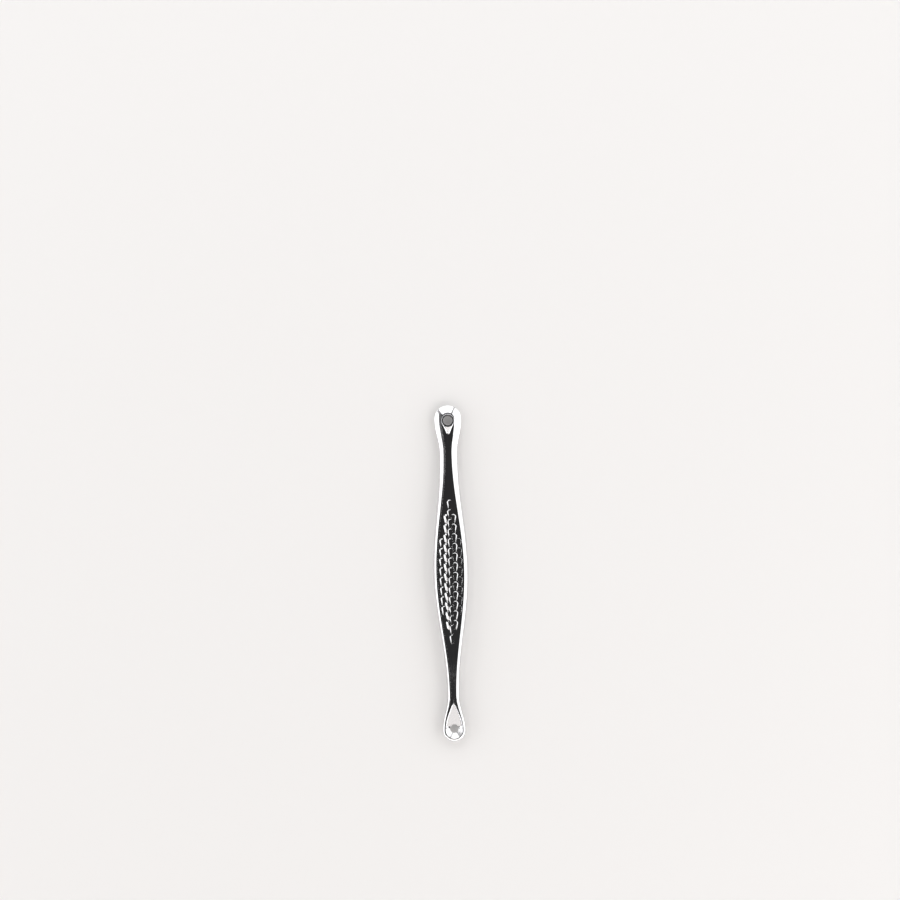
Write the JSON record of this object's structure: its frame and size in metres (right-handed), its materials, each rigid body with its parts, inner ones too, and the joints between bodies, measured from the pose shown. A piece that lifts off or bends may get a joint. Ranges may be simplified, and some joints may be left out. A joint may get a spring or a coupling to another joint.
{
  "type": "blackhead extractor",
  "caption": "Slim double-ended metal extractor with a cupped, bored head at each end and a fish-scale grip in the middle.",
  "frame": {"origin": "centre of the tool's bounding box at its flat back, on the surface that it lies on", "axes": "+Y along the tool towards the upper head with the larger bore, +X across the tool, +Z out of the front with the fish-scale grip"},
  "size_m": [0.0094, 0.09, 0.0033],
  "materials": {
    "polished_chrome_head": "mirror polished, with a finer polish in the bowl",
    "polished_chrome": "mirror polished",
    "polished_chrome_grip": "mirror polished over coined fish scales"
  },
  "bodies": {
    "root": {"upper_head": "polished_chrome_head", "upper_neck": "polished_chrome", "grip_handle": "polished_chrome_grip", "lower_neck": "polished_chrome", "lower_head": "polished_chrome_head"}
  },
  "joints": []
}
